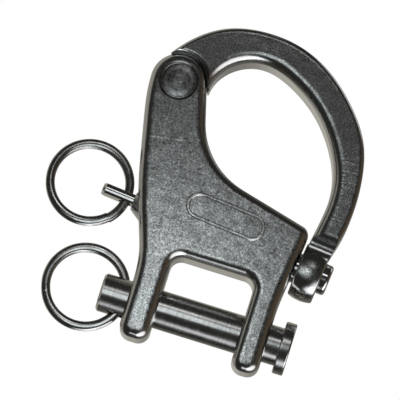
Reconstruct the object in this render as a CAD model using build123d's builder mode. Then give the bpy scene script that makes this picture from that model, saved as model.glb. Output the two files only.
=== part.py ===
from build123d import *
from math import acos, atan2, cos, hypot, pi, radians, sin, tan
import os

os.makedirs("parts", exist_ok=True)

# Snap shackle. X runs along the clevis pin, +Z along the load line towards the bail,
# and the front is at -Y. The origin is on the clevis pin's axis, in the middle of the fork.

# Clevis pin and fork
PIN_RADIUS = 4.0
PIN_LEFT_END = -20.95
PIN_SHOULDER = 17.25
PIN_HEAD_THICKNESS = 2.3
PIN_HEAD_RADIUS = 5.5
PIN_HEAD_EDGE = 0.35
PIN_END_CHAMFER = 0.45
PIN_PLAY = 0.05
FORK_GAP = 17.5
LEG_OUTER_LEFT = -15.1
LEG_OUTER_RIGHT = 14.6
LEG_BOTTOM = -7.6
SLOT_TOP = 11.2
SLOT_CORNER = 2.4
SLOT_OVERRUN = 2.0
LEG_CORNER = 2.5

# Casting
BODY_THICKNESS = 12.0
BODY_EDGE = 2.0
EAR_RADIUS = 5.8
PIVOT_X = -18.5
PIVOT_Z = 45.6
THROAT_X = 4.6
THROAT_Z = 43.5
THROAT_RADIUS = 15.9
SHOULDER_SLOPE = 14.2
SHOULDER_CORNER_X = 16.45
SHOULDER_ROUND = 2.1
FLANK_START_Z = 8.0
FLANK_ROUND = 40.0
LEG_STRAIGHT_Z = 1.0
THROAT_MIDDLE_ANGLE = 222.0

# Hinge rivet
RIVET_RADIUS = 2.5
RIVET_HEAD_RADIUS = 3.9
RIVET_HEAD_THICKNESS = 1.0
RIVET_RIM = 0.5
RIVET_CROWN = 0.3
RECESS_RADIUS = 4.15
RECESS_DEPTH = 1.45
RIVET_CLEARANCE = 0.05

# Bail
BAIL_DEPTH = 11.6
BAIL_OUTER_EDGE = 1.1
BAIL_INNER_EDGE = 2.4
TONGUE_THICKNESS = 4.8
TONGUE_SLOT = 5.2
TONGUE_RADIUS = 5.6
TONGUE_SLOT_RADIUS = 6.3
SHOULDER_START = 6.1
SHOULDER_NOSE = 0.8
BOSS_RADIUS = 6.0
BOSS_LEFT = 16.15
BOSS_RIGHT = 21.35
BOSS_CROWN = 0.45
BOSS_EDGE = 0.5
LEG_END = 9.2
LEG_END_OVERRUN = 0.05
NECK_HALF_WIDTH = 4.4
NECK_HEIGHT = 5.9
NECK_FOOT_ANGLE = 37.0

# Plunger: distances along its own axis, from the point above the origin
PLUNGER_TILT = 5.22
PLUNGER_Z = 18.0
PLUNGER_RADIUS = 3.2
PLUNGER_TIP = 23.1
PLUNGER_SHOULDER = 3.0
STEM_RADIUS = 1.75
STEM_END = -26.95
TIP_ROUND = 0.7
STEM_CHAMFER = 0.6
FLAT_START = -17.5
FLAT_THICKNESS = 2.1
SPRING_SEAT = -14.4
BORE_CLEARANCE = 0.05
COLLAR_RADIUS = 1.9
COLLAR_TAPER = 32.0
COLLAR_FOOT = -17.0
COLLAR_END = -20.1

# Spring
SPRING_WIRE = 0.7
SPRING_MEAN_RADIUS = 2.5
SPRING_TURNS = 9
SPRING_END_GAP = 0.05

# Split rings
RING_OUTER_RADIUS = 9.1
RING_WIRE_WIDTH = 1.85
RING_WIRE_THICKNESS = 0.93
RING_PITCH = 0.97
RING_TURNS = 2
RING_TILT = 5.0
PLUNGER_RING_ENDS = 41.0
PIN_RING_ENDS = 157.0
PLUNGER_RING_HOLE_AT = -21.7
PLUNGER_RING_HOLE_RADIUS = 1.32
PIN_RING_HOLE_AT = -16.55
PIN_RING_HOLE_RADIUS = 1.68

# Blank cast frame on the front
FRAME_LENGTH = 17.0
FRAME_HEIGHT = 5.6
FRAME_LINE = 0.75
FRAME_RAISE = 0.3
FRAME_TAPER = 35.0
FRAME_X = -1.0
FRAME_Z = 21.6

HALF = BODY_THICKNESS / 2
FAR = 60.0
FRONT = Plane.XZ
PLUNGER_AXIS_DIRECTION = Vector(cos(radians(PLUNGER_TILT)), 0, -sin(radians(PLUNGER_TILT)))
PLUNGER_ORIGIN = Vector(0, 0, PLUNGER_Z)


def plunger_plane(along):
    """A plane square to the plunger, this far along its axis, facing its tip."""
    return Plane(
        origin=PLUNGER_ORIGIN + PLUNGER_AXIS_DIRECTION * along,
        x_dir=(0, 1, 0),
        z_dir=PLUNGER_AXIS_DIRECTION,
    )


def inner_tangent(x1, z1, r1, x2, z2, r2):
    """Where a line touches two circles that lie on opposite sides of it."""
    across = hypot(x2 - x1, z2 - z1)
    angle = atan2(z2 - z1, x2 - x1) + acos((r1 + r2) / across)
    on_first = (x1 + r1 * cos(angle), z1 + r1 * sin(angle))
    on_second = (x2 - r2 * cos(angle), z2 - r2 * sin(angle))
    return on_first, on_second


# Body: one casting with a fork below, a wide middle for the plunger, and a two-eared arm
ear_tangent, throat_top = inner_tangent(
    PIVOT_X, PIVOT_Z, EAR_RADIUS, THROAT_X, THROAT_Z, THROAT_RADIUS
)
throat_foot = (
    THROAT_X - THROAT_RADIUS * sin(radians(SHOULDER_SLOPE)),
    THROAT_Z - THROAT_RADIUS * cos(radians(SHOULDER_SLOPE)),
)
shoulder_corner = (
    SHOULDER_CORNER_X,
    throat_foot[1] - (SHOULDER_CORNER_X - throat_foot[0]) * tan(radians(SHOULDER_SLOPE)),
)
ear_left = (PIVOT_X - EAR_RADIUS, PIVOT_Z)
ear_top_angle = atan2(ear_tangent[1] - PIVOT_Z, ear_tangent[0] - PIVOT_X)
ear_middle_angle = (ear_top_angle + pi) / 2
ear_middle = (
    PIVOT_X + EAR_RADIUS * cos(ear_middle_angle),
    PIVOT_Z + EAR_RADIUS * sin(ear_middle_angle),
)
throat_middle = (
    THROAT_X + THROAT_RADIUS * cos(radians(THROAT_MIDDLE_ANGLE)),
    THROAT_Z + THROAT_RADIUS * sin(radians(THROAT_MIDDLE_ANGLE)),
)

with BuildPart() as body:
    with BuildSketch(FRONT):
        with BuildLine():
            Line((LEG_OUTER_LEFT, LEG_BOTTOM), (LEG_OUTER_RIGHT, LEG_BOTTOM))
            Line((LEG_OUTER_RIGHT, LEG_BOTTOM), (LEG_OUTER_RIGHT, FLANK_START_Z))
            Line((LEG_OUTER_RIGHT, FLANK_START_Z), shoulder_corner)
            Line(shoulder_corner, throat_foot)
            ThreePointArc(throat_foot, throat_middle, throat_top)
            Line(throat_top, ear_tangent)
            ThreePointArc(ear_tangent, ear_middle, ear_left)
            Spline(
                ear_left,
                (-22.8, 35.1),
                (-20.55, 25.0),
                (-18.15, 17.0),
                (-16.1, 11.0),
                (LEG_OUTER_LEFT, LEG_STRAIGHT_Z),
                tangents=[(0, -1), (0, -1)],
            )
            Line((LEG_OUTER_LEFT, LEG_STRAIGHT_Z), (LEG_OUTER_LEFT, LEG_BOTTOM))
        make_face()
    extrude(amount=HALF, both=True)

    with BuildSketch(FRONT) as slot:
        with Locations((0, LEG_BOTTOM - SLOT_OVERRUN)):
            Rectangle(
                FORK_GAP,
                SLOT_TOP - LEG_BOTTOM + SLOT_OVERRUN,
                align=(Align.CENTER, Align.MIN),
            )
        fillet(slot.vertices().group_by(Axis.Z)[-1], SLOT_CORNER)
    extrude(amount=HALF, both=True, mode=Mode.SUBTRACT)

    leg_corners = body.edges().filter_by(Axis.Y).group_by(Axis.Z)[0]
    fillet(leg_corners, LEG_CORNER)
    corner_edge = body.edges().filter_by(Axis.Y).sort_by_distance(
        (shoulder_corner[0], 0, shoulder_corner[1])
    )[0]
    fillet(corner_edge, SHOULDER_ROUND)
    flank_edge = body.edges().filter_by(Axis.Y).sort_by_distance(
        (LEG_OUTER_RIGHT, 0, FLANK_START_Z)
    )[0]
    fillet(flank_edge, FLANK_ROUND)
    face_edges = body.faces().filter_by(Axis.Y).edges()
    fillet(face_edges, BODY_EDGE)

    # Raised collar where the plunger's stem comes out
    collar_length = COLLAR_FOOT - COLLAR_END
    with BuildSketch(plunger_plane(COLLAR_FOOT)):
        Circle(COLLAR_RADIUS + collar_length * tan(radians(COLLAR_TAPER)))
    extrude(amount=-collar_length, taper=COLLAR_TAPER)

    # Slot for the bail's tongue, round about the pivot and open above
    with BuildSketch(FRONT):
        with Locations((PIVOT_X, PIVOT_Z)):
            Circle(TONGUE_SLOT_RADIUS)
    extrude(amount=TONGUE_SLOT / 2, both=True, mode=Mode.SUBTRACT)

    # Rivet hole with a recess for each head
    with BuildSketch(FRONT):
        with Locations((PIVOT_X, PIVOT_Z)):
            Circle(RIVET_RADIUS)
    extrude(amount=HALF, both=True, mode=Mode.SUBTRACT)
    for side in (1, -1):
        with BuildSketch(FRONT.offset(side * HALF)):
            with Locations((PIVOT_X, PIVOT_Z)):
                Circle(RECESS_RADIUS)
        extrude(amount=-side * RECESS_DEPTH, mode=Mode.SUBTRACT)

    # Plunger bore, wide for the head and the spring, narrow for the stem
    with BuildSketch(plunger_plane(SPRING_SEAT)):
        Circle(PLUNGER_RADIUS + BORE_CLEARANCE)
    extrude(amount=FAR, mode=Mode.SUBTRACT)
    with BuildSketch(plunger_plane(SPRING_SEAT)):
        Circle(STEM_RADIUS + BORE_CLEARANCE)
    extrude(amount=-FAR, mode=Mode.SUBTRACT)

    # Clevis pin holes
    with BuildSketch(Plane.YZ):
        Circle(PIN_RADIUS + PIN_PLAY)
    extrude(amount=FAR, both=True, mode=Mode.SUBTRACT)

    # Blank raised frame on the front
    with BuildSketch(FRONT.offset(HALF)):
        with Locations(Location((FRAME_X, FRAME_Z), -PLUNGER_TILT)):
            SlotOverall(FRAME_LENGTH, FRAME_HEIGHT)
            SlotOverall(
                FRAME_LENGTH - 2 * FRAME_LINE,
                FRAME_HEIGHT - 2 * FRAME_LINE,
                mode=Mode.SUBTRACT,
            )
    extrude(amount=FRAME_RAISE, taper=FRAME_TAPER)
body.part.label = "body"
export_step(body.part, "parts/body.step")


# Hinge rivet: a plain shank with a low crowned head in each recess
with BuildPart() as hinge_rivet:
    with BuildSketch(FRONT):
        with Locations((PIVOT_X, PIVOT_Z)):
            Circle(RIVET_RADIUS)
    extrude(amount=HALF - RECESS_DEPTH, both=True)
    for side in (1, -1):
        head_plane = Plane(
            origin=(PIVOT_X, side * (HALF - RECESS_DEPTH), PIVOT_Z),
            x_dir=(1, 0, 0),
            z_dir=(0, 0, side),
        )
        with BuildSketch(head_plane):
            with BuildLine():
                TangentArc(
                    (0, RIVET_HEAD_THICKNESS + RIVET_CROWN),
                    (RIVET_HEAD_RADIUS - RIVET_RIM, RIVET_HEAD_THICKNESS),
                    tangent=(1, 0),
                )
                RadiusArc(
                    (RIVET_HEAD_RADIUS - RIVET_RIM, RIVET_HEAD_THICKNESS),
                    (RIVET_HEAD_RADIUS, RIVET_HEAD_THICKNESS - RIVET_RIM),
                    RIVET_RIM,
                )
                Polyline(
                    (RIVET_HEAD_RADIUS, RIVET_HEAD_THICKNESS - RIVET_RIM),
                    (RIVET_HEAD_RADIUS, 0),
                    (0, 0),
                    (0, RIVET_HEAD_THICKNESS + RIVET_CROWN),
                )
            make_face()
        revolve(axis=Axis((PIVOT_X, 0, PIVOT_Z), (0, 1, 0)))
hinge_rivet.part.label = "hinge_rivet"
export_step(hinge_rivet.part, "parts/hinge_rivet.step")


# Bail: a hook-shaped loop from the tongue at the pivot round to the boss on the plunger
boss_side = Plane(
    origin=PLUNGER_ORIGIN,
    x_dir=PLUNGER_AXIS_DIRECTION,
    z_dir=(0, -1, 0),
)
with BuildPart() as bail_boss:
    with BuildSketch(boss_side):
        with BuildLine():
            boss_crown = ThreePointArc(
                (BOSS_LEFT, BOSS_RADIUS - BOSS_CROWN),
                ((BOSS_LEFT + BOSS_RIGHT) / 2, BOSS_RADIUS),
                (BOSS_RIGHT, BOSS_RADIUS - BOSS_CROWN),
            )
            Polyline(boss_crown @ 1, (BOSS_RIGHT, 0), (BOSS_LEFT, 0), boss_crown @ 0)
        make_face()
    revolve(axis=Axis(PLUNGER_ORIGIN, PLUNGER_AXIS_DIRECTION))
    fillet(bail_boss.edges().filter_by(GeomType.CIRCLE), BOSS_EDGE)

with BuildPart() as bail:
    with BuildSketch(FRONT):
        with BuildLine():
            outer_side = Spline(
                (-23.6, 47.4),
                (-18.75, 54.4),
                (-12.85, 58.7),
                (-4.65, 60.6),
                (3.05, 59.9),
                (10.35, 56.7),
                (16.85, 51.1),
                (21.25, 44.9),
                (23.35, 37.0),
                (23.6, 30.0),
                (22.9, 24.6),
                (22.1, 21.6),
                (21.3, 18.8),
            )
            inner_side = Spline(
                (-12.0, 46.0),
                (-9.95, 50.8),
                (-3.75, 54.2),
                (4.45, 52.1),
                (10.35, 47.9),
                (15.05, 42.0),
                (17.75, 35.4),
                (17.95, 29.0),
                (17.0, 22.7),
                (16.7, 20.6),
                (16.4, 18.8),
            )
            Line(outer_side @ 1, inner_side @ 1)
            Line(outer_side @ 0, inner_side @ 0)
        make_face()
    extrude(amount=BAIL_DEPTH / 2, both=True)
    curved_edges = bail.faces().filter_by(Axis.Y).edges().filter_by(GeomType.BSPLINE)
    fillet(curved_edges.sort_by(Edge.length)[:2], BAIL_INNER_EDGE)
    curved_edges = bail.faces().filter_by(Axis.Y).edges().filter_by(GeomType.BSPLINE)
    fillet(curved_edges.sort_by(Edge.length)[-2:], BAIL_OUTER_EDGE)

    # Thin tongue between the ears, with a round-nosed shoulder up to the full depth
    with BuildSketch(FRONT):
        with Locations((PIVOT_X, PIVOT_Z)):
            Circle(TONGUE_RADIUS)
    extrude(amount=TONGUE_THICKNESS / 2, both=True)
    for side in (1, -1):
        with BuildSketch(Plane(origin=(PIVOT_X, 0, PIVOT_Z), x_dir=(1, 0, 0), z_dir=(0, 0, side))):
            with BuildLine():
                Polyline(
                    (SHOULDER_START + SHOULDER_NOSE, BAIL_DEPTH / 2),
                    (SHOULDER_START + SHOULDER_NOSE, BAIL_DEPTH),
                    (0, BAIL_DEPTH),
                    (0, TONGUE_THICKNESS / 2),
                    (SHOULDER_START, TONGUE_THICKNESS / 2),
                    (SHOULDER_START, BAIL_DEPTH / 2 - SHOULDER_NOSE),
                )
                RadiusArc(
                    (SHOULDER_START, BAIL_DEPTH / 2 - SHOULDER_NOSE),
                    (SHOULDER_START + SHOULDER_NOSE, BAIL_DEPTH / 2),
                    SHOULDER_NOSE,
                )
            make_face()
        revolve(
            axis=Axis((PIVOT_X, 0, PIVOT_Z), (0, 1, 0)),
            mode=Mode.SUBTRACT,
        )

    # Front and back of the leg curve in to a narrow neck and out again onto the boss
    neck_top = (BAIL_DEPTH / 2 + LEG_END_OVERRUN, LEG_END)
    neck_foot = (
        BOSS_RADIUS * cos(radians(NECK_FOOT_ANGLE)),
        BOSS_RADIUS * sin(radians(NECK_FOOT_ANGLE)),
    )
    with BuildSketch(plunger_plane(0)):
        with BuildLine():
            Spline(
                neck_top,
                (NECK_HALF_WIDTH, NECK_HEIGHT),
                neck_foot,
                tangents=[(0, -1), (neck_foot[1], -neck_foot[0])],
            )
            Polyline(neck_foot, (FAR, neck_foot[1]), (FAR, LEG_END), neck_top)
        make_face()
        mirror(about=Plane.YZ)
        with Locations((0, neck_foot[1])):
            Rectangle(FAR, FAR, align=(Align.CENTER, Align.MAX))
    extrude(amount=FAR, mode=Mode.SUBTRACT)
    with BuildSketch(plunger_plane(0)):
        Circle(BOSS_RADIUS - BOSS_CROWN)
    extrude(amount=FAR, mode=Mode.SUBTRACT)
    add(bail_boss.part)
    with BuildSketch(plunger_plane(0)):
        Circle(PLUNGER_RADIUS + BORE_CLEARANCE)
    extrude(amount=FAR, mode=Mode.SUBTRACT)

    # Rivet hole
    with BuildSketch(FRONT):
        with Locations((PIVOT_X, PIVOT_Z)):
            Circle(RIVET_RADIUS + RIVET_CLEARANCE)
    extrude(amount=HALF, both=True, mode=Mode.SUBTRACT)
bail.part.label = "bail"
export_step(bail.part, "parts/bail.step")


# Plunger: a headed pin with two flats and a ring hole at the end of its stem
def hole_plane(base, along):
    """A plane on a shaft's axis, square to a cross hole whose foot leans forward by RING_TILT."""
    hole_axis = base.x_dir.rotate(Axis((0, 0, 0), base.z_dir), 90 - RING_TILT)
    return Plane(base.origin + base.z_dir * along, x_dir=base.z_dir, z_dir=hole_axis)


plunger_base = plunger_plane(0)
pin_base = Plane.YZ
with BuildPart() as plunger:
    with BuildSketch(plunger_plane(PLUNGER_SHOULDER)):
        Circle(PLUNGER_RADIUS)
    extrude(amount=PLUNGER_TIP - PLUNGER_SHOULDER)
    with BuildSketch(plunger_plane(STEM_END)):
        Circle(STEM_RADIUS)
    extrude(amount=PLUNGER_SHOULDER - STEM_END)
    tip_rim = plunger.edges().filter_by(GeomType.CIRCLE).sort_by(Axis.X)[-1]
    fillet(tip_rim, TIP_ROUND)
    stem_rim = plunger.edges().filter_by(GeomType.CIRCLE).sort_by(Axis.X)[0]
    chamfer(stem_rim, STEM_CHAMFER)
    ring_hole = hole_plane(plunger_base, PLUNGER_RING_HOLE_AT)
    for side in (1, -1):
        with BuildSketch(ring_hole.offset(side * FLAT_THICKNESS / 2)):
            with Locations((FLAT_START - PLUNGER_RING_HOLE_AT, 0)):
                Rectangle(FAR, FAR, align=(Align.MAX, Align.CENTER))
        extrude(amount=side * STEM_RADIUS, mode=Mode.SUBTRACT)
    with BuildSketch(ring_hole):
        Circle(PLUNGER_RING_HOLE_RADIUS)
    extrude(amount=STEM_RADIUS, both=True, mode=Mode.SUBTRACT)
plunger.part.label = "plunger"
export_step(plunger.part, "parts/plunger.step")


# Spring round the stem, between the bore's shoulder and the plunger's head
spring_length = PLUNGER_SHOULDER - SPRING_SEAT - SPRING_WIRE - 2 * SPRING_END_GAP
spring_plane = plunger_plane(SPRING_SEAT + SPRING_WIRE / 2 + SPRING_END_GAP)
coil = Edge.make_helix(spring_length / SPRING_TURNS, spring_length, SPRING_MEAN_RADIUS)
coil = coil.moved(spring_plane.location)
with BuildPart() as plunger_spring:
    with BuildSketch(Plane(origin=coil @ 0, z_dir=coil % 0)):
        Circle(SPRING_WIRE / 2)
    sweep(path=coil, is_frenet=True)
plunger_spring.part.label = "plunger_spring"
export_step(plunger_spring.part, "parts/plunger_spring.step")


# Clevis pin: headed, with a ring hole through its plain end
with BuildPart() as clevis_pin:
    with BuildSketch(Plane.YZ.offset(PIN_LEFT_END)):
        Circle(PIN_RADIUS)
    extrude(amount=PIN_SHOULDER - PIN_LEFT_END)
    with BuildSketch(Plane.YZ.offset(PIN_SHOULDER)):
        Circle(PIN_HEAD_RADIUS)
    extrude(amount=PIN_HEAD_THICKNESS)
    chamfer(clevis_pin.edges().filter_by(GeomType.CIRCLE).sort_by(Axis.X)[0], PIN_END_CHAMFER)
    head_rims = clevis_pin.edges().filter_by(GeomType.CIRCLE).sort_by(Edge.length)[-2:]
    fillet(head_rims, PIN_HEAD_EDGE)
    with BuildSketch(hole_plane(pin_base, PIN_RING_HOLE_AT)):
        Circle(PIN_RING_HOLE_RADIUS)
    extrude(amount=PIN_RADIUS, both=True, mode=Mode.SUBTRACT)
clevis_pin.part.label = "clevis_pin"
export_step(clevis_pin.part, "parts/clevis_pin.step")


# Split rings: flattened wire wound twice round, threaded through each cross hole
def split_ring(base, hole_at, hole_length, name, start_turn):
    """One split ring hanging outboard of a shaft's cross hole."""
    inner = RING_OUTER_RADIUS - RING_WIRE_WIDTH
    near = (inner**2 - (hole_length / 2) ** 2) ** 0.5
    reach = (near + RING_OUTER_RADIUS) / 2
    hole = hole_plane(base, hole_at)
    ring_axis = hole.z_dir.cross(hole.x_dir)
    centre = hole.origin - base.z_dir * reach
    wound_length = RING_PITCH * RING_TURNS
    turns_at_hole = 1 - start_turn / 360
    ring_plane = Plane(
        origin=centre - ring_axis * RING_PITCH * (turns_at_hole + 0.5),
        x_dir=base.z_dir.rotate(Axis((0, 0, 0), ring_axis), start_turn),
        z_dir=ring_axis,
    )
    wire = Edge.make_helix(RING_PITCH, wound_length, RING_OUTER_RADIUS - RING_WIRE_WIDTH / 2)
    wire = wire.moved(ring_plane.location)
    with BuildPart() as ring:
        with BuildSketch(Plane(origin=wire @ 0, x_dir=ring_plane.x_dir, z_dir=wire % 0)):
            Ellipse(RING_WIRE_WIDTH / 2, RING_WIRE_THICKNESS / 2)
        sweep(path=wire, is_frenet=True)
    ring.part.label = name
    export_step(ring.part, f"parts/{name}.step")


split_ring(plunger_base, PLUNGER_RING_HOLE_AT, FLAT_THICKNESS, "plunger_ring", PLUNGER_RING_ENDS)
split_ring(pin_base, PIN_RING_HOLE_AT, 2 * PIN_RADIUS, "clevis_pin_ring", PIN_RING_ENDS)
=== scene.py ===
import math

import bpy
from mathutils import Matrix, Vector


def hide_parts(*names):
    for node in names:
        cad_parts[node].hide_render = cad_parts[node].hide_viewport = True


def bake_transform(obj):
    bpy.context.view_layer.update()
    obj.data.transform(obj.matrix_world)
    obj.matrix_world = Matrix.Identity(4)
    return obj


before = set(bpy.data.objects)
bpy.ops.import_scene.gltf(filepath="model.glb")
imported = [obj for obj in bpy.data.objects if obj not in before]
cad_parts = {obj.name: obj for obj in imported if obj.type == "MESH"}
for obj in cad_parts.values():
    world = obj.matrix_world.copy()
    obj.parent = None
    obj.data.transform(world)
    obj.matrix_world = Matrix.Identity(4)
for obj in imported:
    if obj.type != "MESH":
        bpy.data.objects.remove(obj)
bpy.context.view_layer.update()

MM = 0.001

# Camera: a long lens a little below the object, rolled so that the pin falls to the right
VIEW_TARGET = Vector((-7.16, 0.0, 24.1)) * MM
VIEW_DISTANCE = 900 * MM
VIEW_AZIMUTH = math.radians(-1.5)
VIEW_ELEVATION = math.radians(-8.0)
VIEW_ROLL = math.radians(17.45)
VIEW_WIDTH = 81.97 * MM
SENSOR_WIDTH = 36.0
CLIP_START = 0.01
CLIP_END = 20.0

# Stage
BACKGROUND = 1.0
FLOOR_HEIGHT = -150 * MM
FLOOR_SIZE = 3.0
FLOOR_SHADE = 0.72

# Soft lights by direction: azimuth, elevation, inner and outer angle in degrees, and colour
NEUTRAL_DARK = (0.03, 0.03, 0.028)
SOFT_LIGHTS = [
    (115, -45, 14, 36, (1.7, 1.7, 1.75)),
    (130, -70, 10, 22, (1.7, 1.75, 1.85)),
    (180, 27, 2, 8, (1.7, 1.7, 1.75)),
    (180, 93, 2, 6, (0.5, 0.5, 0.5)),
    (-50, 14, 42, 68, (0.40, 0.385, 0.34)),
    (95, 0, 20, 55, (0.07, 0.045, 0.025)),
    (30, -12, 25, 60, (0.15, 0.145, 0.13)),
    (62, 48, 8, 22, (0.8, 0.8, 0.8)),
]

# Near light: in front of the lower legs, where their faces mirror it towards the camera
NEAR_LIGHT_PLACE = Vector((-16, -130, 3)) * MM
NEAR_LIGHT_TARGET = Vector((-12, 0, 4)) * MM
NEAR_LIGHT_SIZE = 66 * MM
NEAR_LIGHT_POWER = 0.0135
NEAR_LIGHT_COLOUR = (0.89, 0.965, 1.0)

# Places on the object
BODY_FACE = 6.0 * MM
BAIL_FACE = 5.8 * MM
PIVOT = Vector((-18.5, 0, 45.6)) * MM
PIN_CENTRE = Vector((0, 0, 0))
PLUNGER_TILT = math.radians(5.22)
PLUNGER_AXIS = Vector((math.cos(PLUNGER_TILT), 0, -math.sin(PLUNGER_TILT)))
PLUNGER_POINT = Vector((0, 0, 18)) * MM

# Colours of the steel
BODY_STEEL = (0.62, 0.62, 0.605)
BAIL_STEEL = (0.60, 0.598, 0.585)
PLUNGER_STEEL = (0.64, 0.635, 0.62)
PIN_STEEL = (0.60, 0.59, 0.57)
RING_STEEL = (0.62, 0.615, 0.59)
SPRING_STEEL = (0.6, 0.6, 0.58)

# Castings: speckle on the faces, and polished edges. A surface counts as a face from the second cosine up,
# and as an edge below the first. It counts as raised from the second height above the face.
FACE_COSINES = (0.86, 0.985)
FACE_STARTS_BELOW = 0.6 * MM
FACE_FULL_BELOW = 0.1 * MM
RAISED_HEIGHTS = (0.05 * MM, 0.25 * MM)
EDGE_ROUGHNESS = 0.17
FINE_SPECKLE = 0.34 * MM
PATCH_SIZE = 1.6 * MM
BROAD_SIZE = 4.0 * MM
BROAD_DEPTH = 0.25 * MM
PATCH_SHARE = 0.25
# Raised lines get a lighter colour: partly their tumbled polish, partly a painted highlight
RAISED_POLISH_AND_HIGHLIGHT = 0.11
# Speckle colour stops: the lowest is painted shade in the pits of the speckle relief, the highest is
# painted glints on its high points, and the middle ones are the steel's own tone
SPECKLE_SHADE_AND_GLINTS = [(0.32, 0.35), (0.47, 0.86), (0.58, 1.0), (0.66, 1.6)]

# A faint worn line across the body's arm
SEAM_SLOPE = -0.158
SEAM_HEIGHT = 36.6 * MM
SEAM_WANDER = 0.5 * MM
SEAM_WIDTH = 0.45 * MM
SEAM_DEPTH = 0.025 * MM

# Brushed strokes across the side of the bail: they fade in and out over these heights
STROKE_SPACING = 0.55 * MM
STROKE_WANDER = 0.8 * MM
STROKE_DEPTH = 0.05 * MM
STROKES_BEGIN = (22 * MM, 30 * MM)
STROKES_END = (36 * MM, 48 * MM)

# Turned and drawn pieces
END_COSINES = (0.85, 0.97)
STAIN_SIZE = 0.7 * MM
STAIN_MIDDLE = 0.2
STAIN_SHARE = 0.8
BRIGHTEST = 1.08
SMEAR_SIZE = 3.0 * MM
WIRE_PATCHES = 2.0 * MM
WIRE_SHADES = [(0.40, 1.0), (0.65, 0.8)]


def direction(azimuth, elevation):
    """A unit vector for a compass angle (0 is +Y, 90 is +X) and a height angle, in degrees."""
    a = math.radians(azimuth)
    e = math.radians(elevation)
    return Vector((math.sin(a) * math.cos(e), math.cos(a) * math.cos(e), math.sin(e)))


def add_camera():
    """The camera of the reference view."""
    data = bpy.data.cameras.new("camera")
    data.sensor_width = SENSOR_WIDTH
    data.lens = SENSOR_WIDTH * VIEW_DISTANCE / VIEW_WIDTH
    data.clip_start = CLIP_START
    data.clip_end = CLIP_END
    camera = bpy.data.objects.new("camera", data)
    bpy.context.scene.collection.objects.link(camera)
    look = Vector((
        math.sin(VIEW_AZIMUTH) * math.cos(VIEW_ELEVATION),
        math.cos(VIEW_AZIMUTH) * math.cos(VIEW_ELEVATION),
        -math.sin(VIEW_ELEVATION),
    ))
    right = look.cross(Vector((0, 0, 1))).normalized()
    up = right.cross(look)
    rolled_right = right * math.cos(VIEW_ROLL) + up * math.sin(VIEW_ROLL)
    rolled_up = up * math.cos(VIEW_ROLL) - right * math.sin(VIEW_ROLL)
    turn = Matrix((rolled_right, rolled_up, -look)).transposed()
    camera.matrix_world = Matrix.Translation(VIEW_TARGET - look * VIEW_DISTANCE) @ turn.to_4x4()
    bpy.context.scene.camera = camera


class Nodes:
    """A short way to add and join shader nodes."""

    def __init__(self, tree):
        self.tree = tree
        tree.nodes.clear()

    def add(self, kind, **settings):
        node = self.tree.nodes.new(kind)
        for name, value in settings.items():
            setattr(node, name, value)
        return node

    def join(self, source, target):
        self.tree.links.new(source, target)

    def put(self, value, socket):
        """Sets a socket to a number, or joins it to another node's socket."""
        if isinstance(value, bpy.types.NodeSocket):
            self.join(value, socket)
        else:
            socket.default_value = value

    def math(self, operation, *values):
        node = self.add("ShaderNodeMath", operation=operation)
        for value, socket in zip(values, node.inputs):
            self.put(value, socket)
        return node.outputs[0]

    def vector(self, operation, *values):
        node = self.add("ShaderNodeVectorMath", operation=operation)
        for value, socket in zip(values, node.inputs):
            self.put(value, socket)
        return node.outputs["Value"] if operation in ("DOT_PRODUCT", "LENGTH") else node.outputs[0]

    def ramp(self, value, low, high, out_low=0.0, out_high=1.0):
        """A smooth step from out_low to out_high as value goes from low to high."""
        node = self.add("ShaderNodeMapRange", interpolation_type="SMOOTHSTEP")
        self.put(value, node.inputs["Value"])
        node.inputs["From Min"].default_value = low
        node.inputs["From Max"].default_value = high
        node.inputs["To Min"].default_value = out_low
        node.inputs["To Max"].default_value = out_high
        return node.outputs["Result"]

    def noise(self, coordinates, size, detail=2.0, roughness=0.5):
        """Noise from 0 to 1 whose features are about this size, in metres."""
        node = self.add("ShaderNodeTexNoise")
        node.inputs["Scale"].default_value = 1.0 / size
        node.inputs["Detail"].default_value = detail
        node.inputs["Roughness"].default_value = roughness
        self.join(coordinates, node.inputs["Vector"])
        return node.outputs["Fac"]

    def lines(self, distance, spacing):
        """Uneven parallel lines from 0 to 1: one-way noise along a distance in metres."""
        node = self.add("ShaderNodeTexNoise", noise_dimensions="1D")
        node.inputs["Scale"].default_value = 1.0 / spacing
        node.inputs["Detail"].default_value = 3.0
        self.join(distance, node.inputs["W"])
        return node.outputs["Fac"]


def add_world():
    """Soft lights placed by direction, and a plain white background for the camera."""
    world = bpy.data.worlds.new("studio")
    world.use_nodes = True
    bpy.context.scene.world = world
    n = Nodes(world.node_tree)
    toward = n.add("ShaderNodeTexCoord").outputs["Generated"]
    total = NEUTRAL_DARK
    for azimuth, elevation, inner, outer, colour in SOFT_LIGHTS:
        facing = n.vector("DOT_PRODUCT", toward, direction(azimuth, elevation))
        glow = n.ramp(facing, math.cos(math.radians(outer)), math.cos(math.radians(inner)))
        total = n.vector("MULTIPLY_ADD", glow, colour, total)
    light = n.add("ShaderNodeBackground")
    n.join(total, light.inputs["Color"])
    plain = n.add("ShaderNodeBackground")
    plain.inputs["Color"].default_value = (BACKGROUND, BACKGROUND, BACKGROUND, 1)
    path = n.add("ShaderNodeLightPath")
    mix = n.add("ShaderNodeMixShader")
    n.join(path.outputs["Is Camera Ray"], mix.inputs[0])
    n.join(light.outputs[0], mix.inputs[1])
    n.join(plain.outputs[0], mix.inputs[2])
    output = n.add("ShaderNodeOutputWorld")
    n.join(mix.outputs[0], output.inputs["Surface"])


def add_near_light():
    """A small soft light close to the object, which makes its lower front brighter than its top."""
    data = bpy.data.lights.new("near_light", "AREA")
    data.shape = "DISK"
    data.size = NEAR_LIGHT_SIZE
    data.energy = NEAR_LIGHT_POWER
    data.color = NEAR_LIGHT_COLOUR
    light = bpy.data.objects.new("near_light", data)
    light.location = NEAR_LIGHT_PLACE
    aim = NEAR_LIGHT_TARGET - NEAR_LIGHT_PLACE
    light.rotation_euler = aim.to_track_quat("-Z", "Y").to_euler()
    light.visible_camera = False
    bpy.context.scene.collection.objects.link(light)


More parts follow.
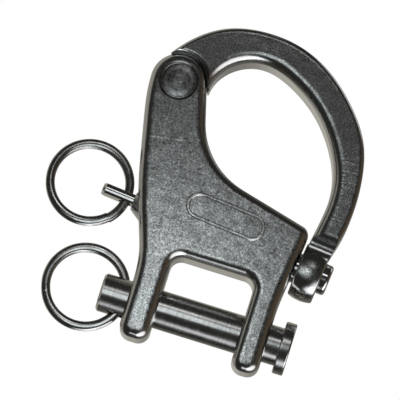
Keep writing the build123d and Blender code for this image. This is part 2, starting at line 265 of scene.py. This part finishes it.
def add_floor():
    """A plain pale floor, well below the object, which the steel doesn't mirror."""
    bpy.ops.mesh.primitive_plane_add(size=FLOOR_SIZE, location=(0, 0, FLOOR_HEIGHT))
    floor = bpy.context.object
    floor.name = "floor"
    floor.visible_glossy = False
    material = bpy.data.materials.new("floor_pale")
    material.use_nodes = True
    n = Nodes(material.node_tree)
    glow = n.add("ShaderNodeEmission")
    glow.inputs["Color"].default_value = (FLOOR_SHADE, FLOOR_SHADE, FLOOR_SHADE, 1)
    output = n.add("ShaderNodeOutputMaterial")
    n.join(glow.outputs[0], output.inputs["Surface"])
    floor.data.materials.append(material)


class Steel:
    """A stainless steel material, with colour, roughness and relief built up from layers."""

    def __init__(self, name, colour):
        self.material = bpy.data.materials.new(name)
        self.material.use_nodes = True
        self.n = Nodes(self.material.node_tree)
        n = self.n
        self.shader = n.add("ShaderNodeBsdfPrincipled")
        self.shader.inputs["Metallic"].default_value = 1.0
        self.colour = colour
        coordinates = n.add("ShaderNodeTexCoord")
        self.place = coordinates.outputs["Object"]
        self.normal = coordinates.outputs["Normal"]
        self.bumped = None
        split = n.add("ShaderNodeSeparateXYZ")
        n.join(self.place, split.inputs[0])
        self.x, self.y, self.z = split.outputs

    def facing(self, axis, cosines):
        """One on faces square to the axis, and zero on every face turned away from it."""
        n = self.n
        cosine = n.math("ABSOLUTE", n.vector("DOT_PRODUCT", self.normal, axis))
        return n.ramp(cosine, *cosines)

    def away(self, centre, axis):
        """Distance from a line through centre along axis."""
        n = self.n
        offset = n.vector("SUBTRACT", self.place, centre)
        along = n.vector("DOT_PRODUCT", offset, axis)
        along_vector = n.vector("MULTIPLY", along, axis)
        return n.vector("LENGTH", n.vector("SUBTRACT", offset, along_vector))

    def relief(self, height, depth, strength=1.0):
        """Adds relief: height is 0 to 1, depth is in metres."""
        bump = self.n.add("ShaderNodeBump")
        bump.inputs["Distance"].default_value = depth
        self.n.put(strength, bump.inputs["Strength"])
        self.n.join(height, bump.inputs["Height"])
        if self.bumped is not None:
            self.n.join(self.bumped, bump.inputs["Normal"])
        self.bumped = bump.outputs["Normal"]

    def shade(self, value, stops):
        """Base colour as a multiple of the steel's colour: stops are pairs of value and multiple."""
        ramp = self.n.add("ShaderNodeValToRGB")
        self.n.put(value, ramp.inputs["Fac"])
        elements = ramp.color_ramp.elements
        for _ in stops[2:]:
            elements.new(0.5)
        for element, (position, share) in zip(elements, stops):
            element.position = position
            element.color = (*(min(c * share, 1.0) for c in self.colour), 1)
        self.n.join(ramp.outputs["Color"], self.shader.inputs["Base Color"])

    def finish(self, roughness):
        n = self.n
        n.put(roughness, self.shader.inputs["Roughness"])
        n.join(self.bumped, self.shader.inputs["Normal"])
        output = n.add("ShaderNodeOutputMaterial")
        n.join(self.shader.outputs[0], output.inputs["Surface"])
        return self.material


def add_strokes(steel, broad, flat):
    """Fine strokes across the bail's side, on its front and back faces."""
    n = steel.n
    wandering = n.math("ADD", steel.z, n.math("MULTIPLY", broad, STROKE_WANDER))
    strokes = n.lines(wandering, STROKE_SPACING)
    low = n.ramp(steel.z, *STROKES_BEGIN)
    high = n.ramp(steel.z, *STROKES_END, 1.0, 0.0)
    steel.relief(strokes, STROKE_DEPTH, n.math("MULTIPLY", n.math("MULTIPLY", low, high), flat))


def add_seam(steel, patches, flat):
    """A faint, broken line across the body's arm."""
    n = steel.n
    seam = n.math("MULTIPLY_ADD", steel.x, SEAM_SLOPE, steel.z)
    seam = n.math("MULTIPLY_ADD", patches, SEAM_WANDER, seam)
    seam = n.math("ABSOLUTE", n.math("SUBTRACT", seam, SEAM_HEIGHT))
    worn = n.math("MULTIPLY", flat, n.ramp(patches, 0.35, 0.6))
    steel.relief(n.ramp(seam, 0.0, SEAM_WIDTH, 1.0, 0.0), SEAM_DEPTH, worn)


def cast_steel(name, colour, face_depth, speckle_depth, face_roughness, brushed=False):
    """A tumbled casting: speckled front and back faces, polished edges and raised lines. The speckle's
    colour holds painted glints and painted pit shade, and the raised lines get a lighter colour that is
    partly polish and partly a painted highlight.
    """
    steel = Steel(name, colour)
    n = steel.n
    depth = n.math("ABSOLUTE", steel.y)
    on_face = n.ramp(depth, face_depth - FACE_STARTS_BELOW, face_depth - FACE_FULL_BELOW)
    flat = n.math("MULTIPLY", on_face, steel.facing((0, 1, 0), FACE_COSINES))
    raised = n.ramp(depth, *(face_depth + height for height in RAISED_HEIGHTS))
    fine = n.noise(steel.place, FINE_SPECKLE, roughness=0.6)
    patches = n.noise(steel.place, PATCH_SIZE)
    broad = n.noise(steel.place, BROAD_SIZE)
    steel.relief(fine, speckle_depth, n.ramp(flat, 0, 1, 0.1, 1.0))
    steel.relief(broad, BROAD_DEPTH, n.ramp(flat, 0, 1, 0.2, 0.6))
    if brushed:
        add_strokes(steel, broad, flat)
    else:
        add_seam(steel, patches, flat)
    # Away from the flat faces the speckle fades to the ramp's middle, which is plain steel
    # The speckle's colour follows the speckle relief: painted glints where the relief is high and painted
    # shade where it is low, mixed with random patches of tone
    patchiness = n.math("SUBTRACT", patches, 0.5)
    speckle_and_glints = n.math("MULTIPLY_ADD", patchiness, PATCH_SHARE, n.math("SUBTRACT", fine, 0.5))
    speckle_and_glints = n.math("MULTIPLY_ADD", speckle_and_glints, n.ramp(flat, 0, 1, 0.15, 1.0), 0.5)
    # Raised lines get a lighter colour: partly their tumbled polish, partly a painted highlight
    speckle_and_glints = n.math("MULTIPLY_ADD", raised, RAISED_POLISH_AND_HIGHLIGHT, speckle_and_glints)
    steel.shade(speckle_and_glints, SPECKLE_SHADE_AND_GLINTS)
    return steel.finish(n.ramp(flat, 0, 1, EDGE_ROUGHNESS, face_roughness))


def turned_steel(name, colour, centre, axis, spacing, depth, roughness, darkest):
    """Turned or ground steel: fine lines round its axis, on its side and on its end faces."""
    steel = Steel(name, colour)
    n = steel.n
    side_lines = n.lines(n.vector("DOT_PRODUCT", steel.place, axis), spacing)
    ring_lines = n.lines(steel.away(centre, axis), spacing)
    end = steel.facing(axis, END_COSINES)
    steel.relief(side_lines, depth, n.math("SUBTRACT", 1.0, end))
    steel.relief(ring_lines, depth, end)
    on_end = n.math("MULTIPLY", ring_lines, n.ramp(end, 0, 1))
    on_side = n.math("MULTIPLY", side_lines, n.ramp(end, 0, 1, 1.0, 0.0))
    stains = n.math("SUBTRACT", n.noise(steel.place, STAIN_SIZE, detail=3.0), STAIN_MIDDLE)
    shade = n.math("MULTIPLY_ADD", stains, STAIN_SHARE, n.math("ADD", on_end, on_side))
    steel.shade(shade, [(0.50, darkest), (0.90, BRIGHTEST)])
    smear = n.ramp(n.noise(steel.place, SMEAR_SIZE), 0.35, 0.65, roughness * 0.9, roughness * 1.15)
    return steel.finish(smear)


def wire_steel(name, colour, spacing, depth, roughness):
    """Drawn wire: faint marks and a slightly uneven polish."""
    steel = Steel(name, colour)
    n = steel.n
    marks = n.noise(steel.place, spacing)
    steel.relief(marks, depth)
    steel.shade(n.noise(steel.place, WIRE_PATCHES), WIRE_SHADES)
    smear = n.ramp(marks, 0.3, 0.7, roughness * 0.7, roughness * 1.3)
    return steel.finish(smear)


def dress(node, material):
    """Gives a CAD node one material."""
    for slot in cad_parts[node].material_slots:
        slot.material = material


def add_spring(material):
    """The coil as its own object: a copy of the spring's mesh in place, with the CAD node hidden."""
    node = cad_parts["plunger_spring"]
    mesh = node.data.copy()
    mesh.transform(node.matrix_world)
    mesh.materials.clear()
    mesh.materials.append(material)
    coil = bpy.data.objects.new("spring_coil", mesh)
    bpy.context.scene.collection.objects.link(coil)
    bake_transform(coil)
    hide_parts("plunger_spring")


bpy.context.scene.view_settings.view_transform = "Standard"
add_camera()
add_world()
add_near_light()
add_floor()

dress("body", cast_steel("cast_body", BODY_STEEL, BODY_FACE, 0.025 * MM, 0.30))
dress("bail", cast_steel("cast_bail", BAIL_STEEL, BAIL_FACE, 0.02 * MM, 0.29, brushed=True))
dress("hinge_rivet", turned_steel(
    "rivet_steel", BAIL_STEEL, PIVOT, (0, 1, 0),
    spacing=0.6 * MM, depth=0.05 * MM, roughness=0.33, darkest=0.2))
dress("plunger", turned_steel(
    "plunger_steel", PLUNGER_STEEL, PLUNGER_POINT, PLUNGER_AXIS,
    spacing=0.3 * MM, depth=0.004 * MM, roughness=0.11, darkest=0.85))
dress("clevis_pin", turned_steel(
    "pin_steel", PIN_STEEL, PIN_CENTRE, (1, 0, 0),
    spacing=0.4 * MM, depth=0.002 * MM, roughness=0.22, darkest=0.80))
for ring, name in (("plunger_ring", "ring_wire_upper"), ("clevis_pin_ring", "ring_wire_lower")):
    dress(ring, wire_steel(name, RING_STEEL, 3.0 * MM, 0.001 * MM, 0.18))
add_spring(wire_steel("spring_wire", SPRING_STEEL, 0.4 * MM, 0.01 * MM, 0.2))
